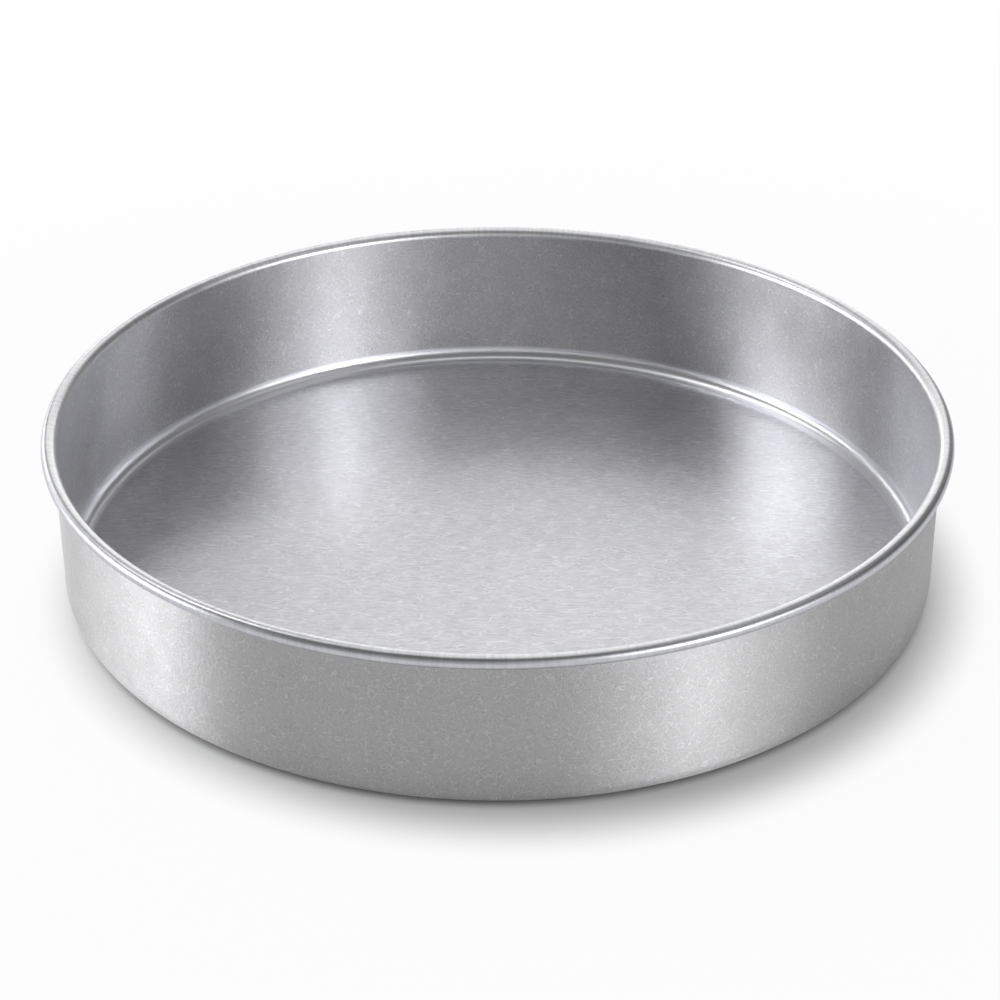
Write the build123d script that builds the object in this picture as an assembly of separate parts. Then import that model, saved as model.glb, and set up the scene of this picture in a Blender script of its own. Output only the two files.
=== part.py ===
from build123d import *

import os
from math import acos, cos, degrees, radians, sin

# Round cake tin: a one-piece drawn aluminium pan whose rim is curled over a steel hoop wire.
# The frame is in millimetres, with +Z up the pan's axis and the origin at the centre of the
# underside, on the surface that the pan stands on.

# Baking size: the clear inside of the pan
inside_diameter = 279.4
inside_depth = 51.8

# Aluminium sheet, the same thickness in floor, wall and curl
sheet = 1.0
corner_inner_radius = 4.5

# Steel hoop wire inside the rim
wire_diameter = 2.0
wire_end_gap = 1.2

# Rim: the wall leans out over the roll-in, then the curl closes round the wire
roll_in_radius = 2.7
wire_clearance = 0.1
curl_edge_gap = 0.15

# Sizes that follow from the ones above
inside_radius = inside_diameter / 2
outside_radius = inside_radius + sheet
rim_top = sheet + inside_depth
curl_inner_radius = wire_diameter / 2 + wire_clearance
curl_outer_radius = curl_inner_radius + sheet
curl_centre_radius = inside_radius + roll_in_radius
curl_centre_height = rim_top - curl_outer_radius
roll_in_height = rim_top - roll_in_radius


def curl_point(radius, angle):
    """Point of the rim section on a circle about the curl's centre, at an angle up from level."""
    across = curl_centre_radius + radius * cos(radians(angle))
    height = curl_centre_height + radius * sin(radians(angle))
    return (across, height)


def curl_end_angle():
    """Angle at which the sheet's cut edge comes back to within its gap of the wall's outer face."""
    reach = roll_in_radius - sheet - curl_edge_gap
    return degrees(acos(reach / curl_outer_radius)) - 180


def pan_section():
    """Half section of the pan: floor, rounded corner, upright wall and curled rim, as one face."""
    floor_edge = inside_radius - corner_inner_radius
    corner_outer_radius = corner_inner_radius + sheet
    corner_centre = (floor_edge, corner_outer_radius)
    roll_in_centre = (curl_centre_radius, roll_in_height)
    curl_centre = (curl_centre_radius, curl_centre_height)
    end_angle = curl_end_angle()

    inside = [
        Line((0, sheet), (floor_edge, sheet)),
        CenterArc(corner_centre, corner_inner_radius, -90, 90),
        Line((inside_radius, corner_outer_radius), (inside_radius, roll_in_height)),
        CenterArc(roll_in_centre, roll_in_radius, 180, -90),
    ]
    curl = [
        CenterArc(curl_centre, curl_outer_radius, 90, end_angle - 90),
        Line(curl_point(curl_outer_radius, end_angle), curl_point(curl_inner_radius, end_angle)),
        CenterArc(curl_centre, curl_inner_radius, end_angle, 90 - end_angle),
    ]
    outside = [
        CenterArc(roll_in_centre, roll_in_radius - sheet, 90, 90),
        Line((outside_radius, roll_in_height), (outside_radius, corner_outer_radius)),
        CenterArc(corner_centre, corner_outer_radius, 0, -90),
        Line((floor_edge, 0), (0, 0)),
        Line((0, 0), (0, sheet)),
    ]
    return make_face(Plane.XZ * (Curve() + inside + curl + outside))


def pan_shell():
    """The pan itself, one sheet drawn to a cup and curled outwards at its lip."""
    return revolve(pan_section(), Axis.Z)


def rim_wire():
    """Round steel wire bent to a hoop inside the curl, with its two cut ends facing each other."""
    gap_angle = degrees(wire_end_gap / curl_centre_radius)
    section = Plane.XZ * Pos(curl_centre_radius, curl_centre_height) * Circle(wire_diameter / 2)
    hoop = revolve(section, Axis.Z, 360 - gap_angle)
    return Rot(0, 0, 90 + gap_angle / 2) * hoop


os.makedirs("parts", exist_ok=True)
export_step(pan_shell(), "parts/pan_shell.step")
export_step(rim_wire(), "parts/rim_wire.step")
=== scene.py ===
from math import acos, cos, pi, radians, sin

import bpy
from mathutils import Matrix, Vector


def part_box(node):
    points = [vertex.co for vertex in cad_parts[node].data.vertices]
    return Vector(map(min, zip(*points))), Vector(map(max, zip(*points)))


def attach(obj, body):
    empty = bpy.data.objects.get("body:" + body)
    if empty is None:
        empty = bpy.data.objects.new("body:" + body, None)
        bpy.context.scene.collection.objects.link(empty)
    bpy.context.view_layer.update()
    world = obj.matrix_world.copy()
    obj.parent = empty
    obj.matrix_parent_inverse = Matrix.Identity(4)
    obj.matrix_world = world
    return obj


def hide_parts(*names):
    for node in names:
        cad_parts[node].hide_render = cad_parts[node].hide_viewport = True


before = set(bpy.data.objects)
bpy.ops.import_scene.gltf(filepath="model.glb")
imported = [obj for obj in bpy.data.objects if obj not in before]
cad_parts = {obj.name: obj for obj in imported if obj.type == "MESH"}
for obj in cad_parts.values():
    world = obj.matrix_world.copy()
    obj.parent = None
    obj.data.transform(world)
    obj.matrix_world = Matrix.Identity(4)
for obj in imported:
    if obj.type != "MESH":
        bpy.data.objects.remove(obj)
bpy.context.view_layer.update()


# Pan shell
# One disc of aluminium sheet, drawn to a straight-sided cup and spun smooth, with its lip rolled
# out over the hoop wire. The rim and the corner inside keep a polish from the rollers; floor and
# wall have the satin of fine random scratches.

sheet = 0.0010
corner_inner_radius = 0.0045
roll_in_radius = 0.0027
curl_outer_radius = 0.0021
curl_edge_gap = 0.00015

# Angle up from level, round the curl, at which the rim gives way to the bead: the same polish,
# with a darker tone painted on as shade for the dark surroundings it reflects
bead_painted_shade_start = 62

pan_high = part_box("pan_shell")[1]
rim_top = pan_high.z
rim_outer_radius = pan_high.x
inside_radius = rim_outer_radius - roll_in_radius - curl_outer_radius
outside_radius = inside_radius + sheet
curl_centre_radius = inside_radius + roll_in_radius
curl_centre_height = rim_top - curl_outer_radius
roll_in_height = rim_top - roll_in_radius
floor_edge = inside_radius - corner_inner_radius
corner_height = sheet + corner_inner_radius

# Parts of the sheet that have a finish of their own, in the order in which the section meets them
zones = ("Floor", "Corner", "Wall", "Rim", "Bead", "Outside", "Underside")


def arc(centre, radius, start, end, steps):
    """Points of an arc in the section plane, angles in degrees."""
    points = []
    for step in range(steps + 1):
        angle = radians(start + (end - start) * step / steps)
        points.append((centre[0] + radius * cos(angle), centre[1] + radius * sin(angle)))
    return points


def pan_section():
    """Half section of the sheet, from the floor's middle out, round the rim and back below.

    Each entry is (across, up, mark), where the mark is the zone's place in the list of zones.
    """
    corner = (floor_edge, corner_height)
    roll_in = (curl_centre_radius, roll_in_height)
    curl = (curl_centre_radius, curl_centre_height)
    reach = roll_in_radius - sheet - curl_edge_gap
    edge_angle = -180 + 180 / pi * acos(reach / curl_outer_radius)
    wall_span = roll_in_height - corner_height
    floor_shares = [0, 0.04, 0.1, 0.2, 0.35, 0.5, 0.65, 0.8, 0.9, 0.96, 0.9995]
    wall_shares = [0.002, 0.05, 0.2, 0.4, 0.6, 0.8, 0.95, 0.998]

    runs = [
        ("Floor", [(floor_edge * share, sheet) for share in floor_shares]),
        ("Corner", arc(corner, corner_inner_radius, -90, 0, steps=16)),
        ("Wall", [(inside_radius, corner_height + wall_span * share) for share in wall_shares]),
        ("Rim", arc(roll_in, roll_in_radius, 180, 90, steps=14)),
        ("Rim", arc(curl, curl_outer_radius, 90, bead_painted_shade_start, steps=6)[1:]),
        ("Bead", arc(curl, curl_outer_radius, bead_painted_shade_start, edge_angle, steps=30)[1:]),
        ("Bead", arc(curl, curl_outer_radius - sheet, edge_angle, 90, steps=18)),
        ("Bead", arc(roll_in, roll_in_radius - sheet, 90, 180, steps=8)[1:]),
        ("Outside", [(outside_radius, roll_in_height - wall_span * share)
                     for share in wall_shares]),
        ("Outside", arc(corner, corner_inner_radius + sheet, 0, -90, steps=16)),
        ("Underside", [(floor_edge * share, 0) for share in reversed(floor_shares)]),
    ]
    return [(across, up, zones.index(zone)) for zone, points in runs for across, up in points]


def section_object(name, points, path_radius):
    """The section as a bare polyline, as the sweep wants it: X out from the path and Y down."""
    mesh = bpy.data.meshes.new(name)
    edges = [(i, i + 1) for i in range(len(points) - 1)]
    mesh.from_pydata([(across - path_radius, -up, 0) for across, up, mark in points], edges, [])
    marks = mesh.attributes.new("zone", "FLOAT", "POINT")
    marks.data.foreach_set("value", [float(mark) for across, up, mark in points])
    made = bpy.data.objects.new(name, mesh)
    bpy.context.scene.collection.objects.link(made)
    return made


def turning_tree(name):
    """Geometry Nodes tree that turns a section about the Z axis and paints it zone by zone.

    The narrow faces between two zones keep the rim's finish.
    """
    tree = bpy.data.node_groups.new(name, "GeometryNodeTree")
    face = tree.interface
    face.new_socket("Section", in_out="INPUT", socket_type="NodeSocketGeometry")
    for label in ("Path radius", "Weld distance"):
        face.new_socket(label, in_out="INPUT", socket_type="NodeSocketFloat")
    face.new_socket("Steps round", in_out="INPUT", socket_type="NodeSocketInt")
    for zone in zones:
        face.new_socket(f"{zone} finish", in_out="INPUT", socket_type="NodeSocketMaterial")
    face.new_socket("Pan", in_out="OUTPUT", socket_type="NodeSocketGeometry")

    def add(kind, settings=None, sockets=None):
        node = tree.nodes.new(kind)
        for key, value in (settings or {}).items():
            setattr(node, key, value)
        for key, value in (sockets or {}).items():
            if isinstance(value, bpy.types.NodeSocket):
                tree.links.new(value, node.inputs[key])
            else:
                node.inputs[key].default_value = value
        return node

    given = add("NodeGroupInput").outputs
    path = add("GeometryNodeCurvePrimitiveCircle", {"mode": "RADIUS"},
               {"Resolution": given["Steps round"], "Radius": given["Path radius"]})
    section = add("GeometryNodeMeshToCurve", None, {"Mesh": given["Section"]})
    swept = add("GeometryNodeCurveToMesh", None,
                {"Curve": path.outputs["Curve"], "Profile Curve": section.outputs["Curve"]})
    welded = add("GeometryNodeMergeByDistance", None,
                 {"Geometry": swept.outputs["Mesh"], "Distance": given["Weld distance"]})
    real = add("GeometryNodeRealizeInstances", None, {"Geometry": welded.outputs["Geometry"]})
    smooth = add("GeometryNodeSetShadeSmooth", None, {"Geometry": real.outputs["Geometry"]})
    marks = add("GeometryNodeInputNamedAttribute", {"data_type": "FLOAT"}, {"Name": "zone"})
    painted = add("GeometryNodeSetMaterial", None,
                  {"Geometry": smooth.outputs["Geometry"], "Material": given["Rim finish"]})
    for mark, zone in enumerate(zones):
        here = add("FunctionNodeCompare", {"data_type": "FLOAT", "operation": "EQUAL"},
                   {"A": marks.outputs["Attribute"], "B": mark, "Epsilon": 0.2})
        painted = add("GeometryNodeSetMaterial", None,
                      {"Geometry": painted.outputs["Geometry"], "Selection": here.outputs["Result"],
                       "Material": given[f"{zone} finish"]})
    add("NodeGroupOutput", None, {"Pan": painted.outputs["Geometry"]})
    return tree


def grown(base, tree, values):
    """Run a Geometry Nodes tree on an object and hand back its result as a plain mesh object."""
    modifier = base.modifiers.new(tree.name, "NODES")
    modifier.node_group = tree
    for item in tree.interface.items_tree:
        if item.item_type == "SOCKET" and item.name in values:
            modifier[item.identifier] = values[item.name]
    evaluated = base.evaluated_get(bpy.context.evaluated_depsgraph_get())
    mesh = bpy.data.meshes.new_from_object(evaluated)
    base.modifiers.remove(modifier)
    old = base.data
    base.data = mesh
    bpy.data.meshes.remove(old)
    return base


class Value:
    """A number, colour or vector in a material; sums written on it become Math nodes."""

    def __init__(self, paint, socket):
        self.paint = paint
        self.socket = socket

    def __add__(self, other):
        return self.paint.maths("ADD", self, other)

    def __sub__(self, other):
        return self.paint.maths("SUBTRACT", self, other)

    def __rsub__(self, other):
        return self.paint.maths("SUBTRACT", other, self)

    def __mul__(self, other):
        return self.paint.maths("MULTIPLY", self, other)

    def __truediv__(self, other):
        return self.paint.maths("DIVIDE", self, other)

    def __rtruediv__(self, other):
        return self.paint.maths("DIVIDE", other, self)

    __radd__ = __add__
    __rmul__ = __mul__


class Paint:
    """One material and its node tree."""

    def __init__(self, name):
        self.material = bpy.data.materials.new(name)
        self.material.use_nodes = True
        self.tree = self.material.node_tree
        self.tree.nodes.clear()
        self.place = self.node("ShaderNodeTexCoord", output="Object")

    def node(self, kind, settings=None, sockets=None, output=0):
        """Add a node, its settings first and then its sockets, and hand back one output's value."""
        made = self.tree.nodes.new(kind)
        for key, value in (settings or {}).items():
            if key == "stops":
                ramp = made.color_ramp
                while len(ramp.elements) < len(value):
                    ramp.elements.new(0.5)
                for element, (position, grey) in zip(ramp.elements, value):
                    element.position = position
                    element.color = (grey, grey, grey, 1)
            else:
                setattr(made, key, value)
        for key, value in (sockets or {}).items():
            if isinstance(value, Value):
                self.tree.links.new(value.socket, made.inputs[key])
            else:
                made.inputs[key].default_value = value
        if made.outputs:
            return Value(self, made.outputs[output])
        return made

    def maths(self, operation, *numbers):
        """One Math node on values, on plain numbers or on both."""
        return self.node("ShaderNodeMath", {"operation": operation}, dict(enumerate(numbers)))

    def noise(self, scale, detail=2.0, distortion=0.0, roughness=0.5, place=None):
        """Soft random pattern, from 0 to 1 with 0.5 in the middle, at a scale per metre."""
        return self.node("ShaderNodeTexNoise", {"noise_dimensions": "3D"},
                         {"Vector": place or self.place, "Scale": scale, "Detail": detail,
                          "Distortion": distortion, "Roughness": roughness}, "Fac")

    def between(self, value, low, high, to_low=0.0, to_high=1.0):
        """Smooth step from one number to another while the value goes from low to high."""
        return self.node("ShaderNodeMapRange", {"interpolation_type": "SMOOTHSTEP"},
                         {"Value": value, "From Min": low, "From Max": high,
                          "To Min": to_low, "To Max": to_high}, "Result")

    def blend(self, share, first, second):
        """Colour between two others."""
        return self.node("ShaderNodeMix", {"data_type": "RGBA"},
                         {"Factor": share, "A": (*first, 1), "B": (*second, 1)}, "Result")

    def moved(self, shift, scale=(1, 1, 1), place=None):
        """Place scaled along X, Y and Z, and then shifted."""
        return self.node("ShaderNodeMapping", {"vector_type": "POINT"},
                         {"Vector": place or self.place, "Location": shift, "Scale": scale},
                         "Vector")

    def unrolled(self):
        """Place on a wall round the Z axis as if laid flat: the way round it, then the height."""
        across, back, up = [self.node("ShaderNodeSeparateXYZ", None, {"Vector": self.place}, axis)
                            for axis in "XYZ"]
        way_round = self.maths("ARCTAN2", back, across) * inside_radius
        return self.node("ShaderNodeCombineXYZ", None, {"X": way_round, "Y": up}, "Vector")

    def round_rim(self):
        """Place with radius and height taken out, so that a pattern on it runs across the rim."""
        level = self.moved((0, 0, 0), scale=(1, 1, 0))
        heading = self.node("ShaderNodeVectorMath", {"operation": "NORMALIZE"}, {0: level},
                            "Vector")
        return self.node("ShaderNodeVectorMath", {"operation": "SCALE"},
                         {0: heading, "Scale": inside_radius}, "Vector")

    def finish(self, shader):
        """Put the shader on the material's output and hand back the material."""
        self.node("ShaderNodeOutputMaterial", None, {"Surface": shader})
        return self.material


# Curled scratches in three sizes: cells per metre, half the width of a line in metres, and a shift
# that keeps one size clear of the next
scratch_sizes = [(230, 0.00024, 0.0), (330, 0.00020, 1.7), (460, 0.00018, 3.1)]

# Satin of the bare metal: scales per metre, and how far each pattern sways tone and roughness
cloud_scale = 32
cloud_tone = 0.2
cloud_roughness = 0.08
blotch_scale = 120
blotch_tone = 0.4
blotch_roughness = 0.06
fine_scale = 900
crinkle_scale = 500
crinkle_shift = (7, 7, 7)
scratch_height = 0.1
middle = 0.5

# Where plain metal lies between the darkest and the lightest shade, which multiply its tone
plain_lightness = 0.40
darkest = 0.80
lightest = 1.30

# Turn of the stretched highlight, as a share of a full turn
highlight_turn = 0.25


def curls(paint, per_metre, half_width, shift, place, grain):
    """Thin curled scratches: the swirled edges of a flat cell pattern, light, with painted shade
    along both flanks.
    """
    core = 1.0
    # Painted shade: the flanks of each scratch are darkened as if shaded beside a raised line
    flank_shade = 0.1
    plain = 0.3
    swirl_scale = per_metre * 1.3
    swirl_reach = 1.1 / per_metre
    line_reach = half_width * per_metre * 3
    patch_scale = per_metre * 0.5
    faint = 0.6

    place = paint.moved((shift, shift, shift), grain, place)
    swirl = paint.node("ShaderNodeTexNoise", {"noise_dimensions": "2D"},
                       {"Vector": place, "Scale": swirl_scale, "Detail": 0.0}, "Color")
    swirled = paint.node("ShaderNodeVectorMath", {"operation": "MULTIPLY_ADD"},
                         {0: swirl, 1: (swirl_reach,) * 3, 2: place}, "Vector")
    edge = paint.node("ShaderNodeTexVoronoi",
                      {"voronoi_dimensions": "2D", "feature": "DISTANCE_TO_EDGE"},
                      {"Vector": swirled, "Scale": per_metre}, "Distance")
    # Painted shade: the ramp lightens each scratch line and darkens both its flanks
    scratch_line_and_flank_shade = paint.node("ShaderNodeValToRGB",
                      {"stops": [(0.0, core), (0.35, flank_shade), (0.6, flank_shade), (1.0, plain)]},
                      {"Fac": edge / line_reach}, "Color")
    patches = paint.noise(patch_scale, detail=0.0, place=place)
    return (scratch_line_and_flank_shade - plain) * paint.between(patches, low=0.35, high=0.6, to_low=faint)


def aluminium(name, tone, roughness, depth, scratch_tone, ripple,
              stretch=0.0, grain=(1, 1, 1), upright=True, ticks=False):
    """Bare aluminium with a cloudy satin, and curled hair scratches lighter than the metal, with
    painted shade along their flanks.

    Depth is the height of its bumps in metres. Scratch tone and ripple say how far scratches and
    fine grain sway the tone, stretch how far highlights are drawn out, and grain how the pattern
    is scaled along X, Y and Z. Upright metal has its scratches laid round the Z axis, and ticks
    turns the fine grain into marks across the rim.
    """
    paint = Paint(name)
    cloud = paint.noise(cloud_scale) - middle
    blotch = paint.noise(blotch_scale, roughness=0.6) - middle
    fine_place = paint.round_rim() if ticks else paint.moved((0, 0, 0), grain)
    fine = paint.noise(fine_scale, detail=1.0, place=fine_place) - middle
    crinkle = paint.noise(crinkle_scale, detail=1.0, distortion=1.0,
                          place=paint.moved(crinkle_shift, grain))
    place = paint.unrolled() if upright else paint.place
    wide, medium, narrow = [curls(paint, *size, place, grain) for size in scratch_sizes]
    scratches = wide + medium + narrow

    lightness = (plain_lightness + blotch * blotch_tone + cloud * cloud_tone + fine * ripple
                 + scratches * scratch_tone)
    shade = paint.blend(lightness, [part * darkest for part in tone],
                        [min(1.0, part * lightest) for part in tone])
    rough = roughness + cloud * cloud_roughness + blotch * blotch_roughness
    bump = paint.node("ShaderNodeBump", None,
                      {"Strength": 1.0, "Distance": 1.0,
                       "Height": (crinkle + scratches * scratch_height) * depth}, "Normal")
    shader = paint.node("ShaderNodeBsdfPrincipled", None,
                        {"Base Color": shade, "Metallic": 1.0, "Roughness": rough,
                         "Anisotropic": stretch, "Anisotropic Rotation": highlight_turn,
                         "Normal": bump}, "BSDF")
    return paint.finish(shader)


# Painted shade: the outside and the underside take a darker tone than the wall inside, for the
# darker surroundings the outside reflects; their rougher satin is their own
outside_painted_shade_tone = (0.516, 0.514, 0.523)
finishes = {
    "Floor": aluminium("satin_floor", tone=(0.712, 0.713, 0.749), roughness=0.31,
                       depth=0.000008, scratch_tone=0.40, ripple=0.65,
                       grain=(0.27, 1, 1), upright=False),
    # Painted highlight: the corner takes a brighter tone than the wall, for the bright band of
    # light in it; its fewer scratches are its own
    "Corner": aluminium("rolled_corner", tone=(0.91, 0.92, 1.0), roughness=0.32,
                        depth=0.000002, scratch_tone=0.1, ripple=0.2),
    "Wall": aluminium("spun_wall", tone=(0.7315, 0.732, 0.749), roughness=0.33,
                      depth=0.000030, scratch_tone=0.55, ripple=0.4, stretch=0.7),
    "Rim": aluminium("polished_rim", tone=(0.770, 0.773, 0.81), roughness=0.38,
                     depth=0.000002, scratch_tone=0.1, ripple=0.7, ticks=True),
    # Painted shade: the bead has the rim's polish in a darker tone, for the dark surroundings it
    # reflects
    "Bead": aluminium("bead_painted_shade", tone=(0.513, 0.517, 0.55), roughness=0.38,
                      depth=0.000002, scratch_tone=0.1, ripple=0.7, ticks=True),
    "Outside": aluminium("satin_outside", tone=outside_painted_shade_tone, roughness=0.48,
                         depth=0.000040, scratch_tone=0.5, ripple=0.3, stretch=0.9),
    "Underside": aluminium("satin_underside", tone=outside_painted_shade_tone, roughness=0.43,
                           depth=0.000010, scratch_tone=0.5, ripple=0.3, upright=False),
}

pan = section_object("pan", pan_section(), inside_radius)
pan = grown(pan, turning_tree("section_turned_round_axis"), {
    "Path radius": inside_radius,
    "Weld distance": 0.000002,
    "Steps round": 360,
    **{f"{zone} finish": finishes[zone] for zone in zones},
})
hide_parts("pan_shell")
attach(pan, "root")


# Rim wire
# A hoop of galvanised steel wire that stiffens the rim. The curl hides all of it but a hairline
# below the bead, so it keeps its plain round form and gets the dull spangle of its zinc.

dull_zinc = (0.42, 0.43, 0.44)
bright_zinc = (0.60, 0.61, 0.62)
spangle_scale = 900
zinc_roughness = 0.42
spangle_roughness = 0.2

zinc = Paint("galvanised_wire")
spangle = zinc.noise(spangle_scale, detail=1.0)
zinc_shader = zinc.node("ShaderNodeBsdfPrincipled", None,
                        {"Base Color": zinc.blend(spangle, dull_zinc, bright_zinc),
                         "Metallic": 1.0,
                         "Roughness": zinc_roughness + spangle * spangle_roughness}, "BSDF")
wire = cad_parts["rim_wire"]
wire.data.materials.clear()
wire.data.materials.append(zinc.finish(zinc_shader))


# Floor, lamps and camera
# The tin stands on a plain pale floor that turns white away from it and keeps its shadow. A thin
# dark ring just below the tin's bottom corner is a painted contact shadow. Low soft boxes stand
# to the left and to the right of the viewer, with weaker ones behind, above and in front.

floor_reach = 40.0
floor_colour = (0.95, 0.95, 0.95, 1)
# Painted contact shadow: a dark floor colour in a thin ring below the tin's bottom corner
painted_contact_shadow_colour = (0.35, 0.35, 0.35, 1)

# Distances from the tin's axis between which the painted contact shadow below the tin's corner
# gives way to the pale floor
painted_shadow_from = 0.1365
painted_shadow_to = 0.1415

# Distances from the shadow's middle between which most of the white comes in, and then the rest
white_shift = (-0.0044, 0.0098, 0)
white_from = 0.1294
white_to = 0.1557
white_share = 0.95
far_white_from = 0.20
far_white_to = 0.60

ground = Paint("white_floor")
ground_pale = ground.node("ShaderNodeBsdfDiffuse", None, {"Color": floor_colour}, "BSDF")
ground_painted_shadow = ground.node("ShaderNodeBsdfDiffuse", None, {"Color": painted_contact_shadow_colour}, "BSDF")
ground_white = ground.node("ShaderNodeEmission", None, {"Strength": 1.0}, "Emission")
seen = ground.node("ShaderNodeLightPath", output="Is Camera Ray")
for ray in ("Is Glossy Ray", "Is Transmission Ray"):
    seen = seen + ground.node("ShaderNodeLightPath", output=ray)
from_axis = ground.node("ShaderNodeVectorMath", {"operation": "LENGTH"}, {0: ground.place},
                        "Value")
from_shadow = ground.node("ShaderNodeVectorMath", {"operation": "LENGTH"},
                          {0: ground.moved(white_shift)}, "Value")
# Painted contact shadow: inside this ring the floor takes the dark colour below the tin's corner
clear_of_painted_shadow = ground.between(from_axis, painted_shadow_from, painted_shadow_to)
ground_lit = ground.node("ShaderNodeMixShader", None,
                         {0: clear_of_painted_shadow, 1: ground_painted_shadow, 2: ground_pale})
whiteness = (ground.between(from_shadow, white_from, white_to, to_high=white_share)
             + ground.between(from_shadow, far_white_from, far_white_to, to_high=1 - white_share))
ground_shader = ground.node("ShaderNodeMixShader", None,
                            {0: seen * whiteness, 1: ground_lit, 2: ground_white})

floor_mesh = bpy.data.meshes.new("floor")
floor_mesh.from_pydata([(-floor_reach, -floor_reach, 0), (floor_reach, -floor_reach, 0),
                        (floor_reach, floor_reach, 0), (-floor_reach, floor_reach, 0)],
                       [], [(0, 1, 2, 3)])
floor_mesh.materials.append(ground.finish(ground_shader))
floor = bpy.data.objects.new("floor", floor_mesh)
bpy.context.scene.collection.objects.link(floor)

lamp_distance = 1.6

# Name, azimuth from the viewer (positive to the right) and elevation in degrees, width and height
# in metres, brightness
soft_boxes = [
    ("left_box", -85, 12, 0.61, 0.56, 8.4),
    ("left_back_box", -106, 12, 0.36, 0.56, 4.6),
    ("left_far_box", -134, 12, 0.60, 0.56, 2.7),
    ("left_high_box", -112, 54, 0.40, 0.62, 3.7),
    ("right_near_box", 30, 12, 0.30, 0.56, 3.5),
    ("right_box", 46, 12, 0.40, 0.56, 8.9),
    ("right_far_box", 64, 12, 0.36, 0.56, 3.4),
    ("right_high_box", 78, 54, 0.74, 0.60, 0.55),
    ("back_left_box", -164, 12, 0.44, 0.56, 2.6),
    ("back_right_box", 170, 12, 0.80, 0.56, 1.6),
    ("back_box", 180, 32, 1.05, 0.52, 0.75),
    ("back_high_box", 168, 54, 0.75, 0.60, 1.35),
    ("front_strip", 0, 20, 2.40, 0.25, 0.85),
    ("top_box", 180, 82, 0.80, 0.80, 0.9),
]


def soft_box(name, azimuth, elevation, width, height, brightness):
    """Area lamp aimed at the tin."""
    lamp = bpy.data.lights.new(name, "AREA")
    lamp.shape = "RECTANGLE"
    lamp.size = width
    lamp.size_y = height
    lamp.energy = brightness * pi * width * height
    made = bpy.data.objects.new(name, lamp)
    level = lamp_distance * cos(radians(elevation))
    made.location = (level * sin(radians(azimuth)), -level * cos(radians(azimuth)),
                     lamp_distance * sin(radians(elevation)))
    made.rotation_euler = (Vector((0, 0, 0)) - made.location).to_track_quat("-Z", "Y").to_euler()
    bpy.context.scene.collection.objects.link(made)


for settings in soft_boxes:
    soft_box(*settings)

sky_brightness = 0.155
world = bpy.data.worlds.new("studio")
bpy.context.scene.world = world
world.use_nodes = True
sky = world.node_tree.nodes["Background"]
sky.inputs["Color"].default_value = (1, 1, 1, 1)
sky.inputs["Strength"].default_value = sky_brightness

focal_pixels = 2606.5
image_pixels = 1000
sensor_width = 36
view_distance = 0.8591
view_elevation = radians(31.133)
aim_up = radians(1.1239)
aim_right = radians(0.0576)
view_roll = radians(-0.067)
camera_data = bpy.data.cameras.new("camera")
camera_data.sensor_width = sensor_width
camera_data.lens = focal_pixels / image_pixels * sensor_width
camera = bpy.data.objects.new("camera", camera_data)
place = Matrix.Translation((0, -view_distance * cos(view_elevation),
                            view_distance * sin(view_elevation)))
turn = (Matrix.Rotation(-aim_right, 4, "Z")
        @ Matrix.Rotation(pi / 2 - view_elevation + aim_up, 4, "X"))
camera.matrix_world = place @ turn @ Matrix.Rotation(view_roll, 4, "Z")
bpy.context.scene.collection.objects.link(camera)
bpy.context.scene.camera = camera
bpy.context.scene.view_settings.view_transform = "Standard"
